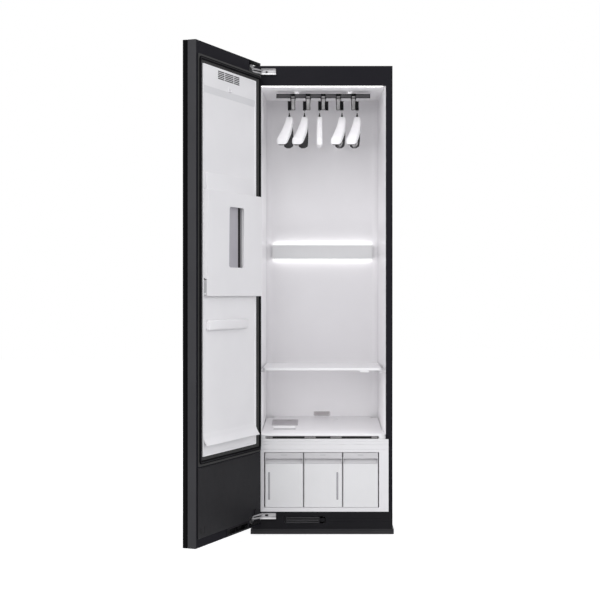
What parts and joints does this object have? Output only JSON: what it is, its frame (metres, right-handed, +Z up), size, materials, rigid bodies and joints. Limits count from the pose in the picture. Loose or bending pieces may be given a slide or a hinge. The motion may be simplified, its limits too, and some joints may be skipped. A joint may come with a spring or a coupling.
{
  "type": "clothes care steam cabinet",
  "caption": "Tall free-standing steam cabinet for clothes: side-hinged door with trouser press, shaking hanger rail, lift-out shelf and pull-out water tanks.",
  "frame": {"origin": "on the floor, on the cabinet's centre plane, under the plane of its front face", "axes": "+X to the right along the front, +Y from the front to the back, +Z up"},
  "size_m": [0.8241, 1.1557, 1.96],
  "materials": {
    "shell_black": "satin powder coat",
    "base_grey": "satin powder coat",
    "kick_black": "fine moulded grain",
    "liner_white": "smooth satin moulding",
    "bay_grey": "moulded",
    "bar_grey": "smooth satin moulding",
    "lamp_glow": "diffusing strip",
    "ground_steel": "ground",
    "motor_grey": "plain paint",
    "crank_steel": "ground",
    "rail_metal": "satin anodised",
    "arm_chrome": "bright plate",
    "cup_black": "smooth moulding",
    "filter_dark": "fine moulded grain",
    "can_black": "black enamel",
    "coil_metal": "bare fins",
    "duct_grey": "moulded",
    "boiler_steel": "drawn",
    "tank_white": "smooth moulding",
    "handle_grey": "fine moulded grain",
    "slit_clear": "clear",
    "hanger_white": "smooth moulding",
    "hanger_dark": "fine moulded grain",
    "front_gloss": "polished",
    "seal_rubber": "soft",
    "pad_dark": "ribbed pad"
  },
  "bodies": {
    "cabinet": {"side_panels": "shell_black", "top_cover": "shell_black", "back_panel": "shell_black", "front_header": "shell_black", "base_pan": "base_grey", "kick_panel": "kick_black", "intake_grille": "kick_black", "lower_frame": "liner_white", "tank_bay": "bay_grey", "liner_walls": "liner_white", "liner_back": "liner_white", "liner_ceiling": "liner_white", "chamber_floor": "liner_white", "air_grilles": "kick_black", "lamp_strips": "lamp_glow", "light_bar": "bar_grey", "guide_bars": "ground_steel", "drive_motor": "motor_grey", "compressor": "can_black", "heat_exchangers": "coil_metal", "fan_housing": "duct_grey", "fan_motor": "motor_grey", "steam_generator": "boiler_steel", "hinge_brackets": "arm_chrome"},
    "shaking_rail": {"hanger_rail": "rail_metal", "hanger_arms": "arm_chrome", "hook_cups": "cup_black"},
    "crank": {"drive_crank": "crank_steel"},
    "fan": {"fan_wheel": "duct_grey"},
    "lift_out_shelf": {"shelf": "liner_white"},
    "filter": {"lint_filter": "filter_dark"},
    "supply_unit": {"supply_tank": "tank_white", "supply_tank_lid": "handle_grey", "supply_level_window": "slit_clear"},
    "drain_unit": {"drain_tank": "tank_white", "drain_tank_lid": "handle_grey", "drain_level_window": "slit_clear"},
    "spare_unit": {"spare_tank": "tank_white", "spare_tank_lid": "handle_grey"},
    "door": {"door_pan": "shell_black", "door_front": "front_gloss", "door_gasket": "seal_rubber", "door_liner": "liner_white", "lower_cover": "kick_black", "lower_vent": "kick_black", "press_base": "liner_white", "press_pivots": "bar_grey", "press_pad": "pad_dark", "hinge_leaves": "ground_steel"},
    "press": {"press_panel": "liner_white"},
    "hanger_1": {"hanger_1_shell": "hanger_white", "hanger_1_core": "hanger_dark"},
    "hanger_2": {"hanger_2_shell": "hanger_white", "hanger_2_core": "hanger_dark"},
    "hanger_3": {"hanger_3_shell": "hanger_white", "hanger_3_core": "hanger_dark"},
    "hanger_4": {"hanger_4_shell": "hanger_white", "hanger_4_core": "hanger_dark"},
    "hanger_5": {"hanger_5_shell": "hanger_white", "hanger_5_core": "hanger_dark"}
  },
  "joints": [
    {"name": "door_swing", "type": "hinge", "parent": "cabinet", "child": "door", "pos_m": [-0.294, -0.048, 0.99], "axis": [0, 0, -1], "range_deg": [-111.4, 0]},
    {"name": "press_tilt", "type": "hinge", "parent": "door", "child": "press", "pos_m": [-0.35115, -0.33225, 1.006], "axis": [0.3649, 0.9311, 0], "range_deg": [0, 40]},
    {"name": "shelf_slide", "type": "slide", "parent": "cabinet", "child": "lift_out_shelf", "axis": [0, -1, 0], "range_m": [0, 0.3]},
    {"name": "filter_lift", "type": "slide", "parent": "cabinet", "child": "filter", "axis": [0, -0.138, 0.9904], "range_m": [0, 0.06]},
    {"name": "rail_shake", "type": "slide", "parent": "cabinet", "child": "shaking_rail", "axis": [1, 0, 0], "range_m": [-0.012, 0.012]},
    {"name": "crank_turn", "type": "hinge", "parent": "cabinet", "child": "crank", "pos_m": [0.0045, 0.19, 1.9345], "axis": [0, 0, 1], "range_deg": [-30, 30]},
    {"name": "fan_spin", "type": "hinge", "parent": "cabinet", "child": "fan", "pos_m": [0.045, 0.35, 0.275], "axis": [0, 1, 0], "continuous": true},
    {"name": "supply_tank_slide", "type": "slide", "parent": "cabinet", "child": "supply_unit", "axis": [0, -1, 0], "range_m": [0, 0.2]},
    {"name": "drain_tank_slide", "type": "slide", "parent": "cabinet", "child": "drain_unit", "axis": [0, -1, 0], "range_m": [0, 0.2]},
    {"name": "spare_tank_slide", "type": "slide", "parent": "cabinet", "child": "spare_unit", "axis": [0, -1, 0], "range_m": [0, 0.2]},
    {"name": "hanger_1_lift", "type": "slide", "parent": "shaking_rail", "child": "hanger_1", "axis": [0, 0, 1], "range_m": [0, 0.009]},
    {"name": "hanger_2_lift", "type": "slide", "parent": "shaking_rail", "child": "hanger_2", "axis": [0, 0, 1], "range_m": [0, 0.009]},
    {"name": "hanger_3_lift", "type": "slide", "parent": "shaking_rail", "child": "hanger_3", "axis": [0, 0, 1], "range_m": [0, 0.009]},
    {"name": "hanger_4_lift", "type": "slide", "parent": "shaking_rail", "child": "hanger_4", "axis": [0, 0, 1], "range_m": [0, 0.009]},
    {"name": "hanger_5_lift", "type": "slide", "parent": "shaking_rail", "child": "hanger_5", "axis": [0, 0, 1], "range_m": [0, 0.009]}
  ],
  "couplings": [
    {"joint": "crank_turn", "follows": "rail_shake", "rad_per_m": 41.667}
  ]
}
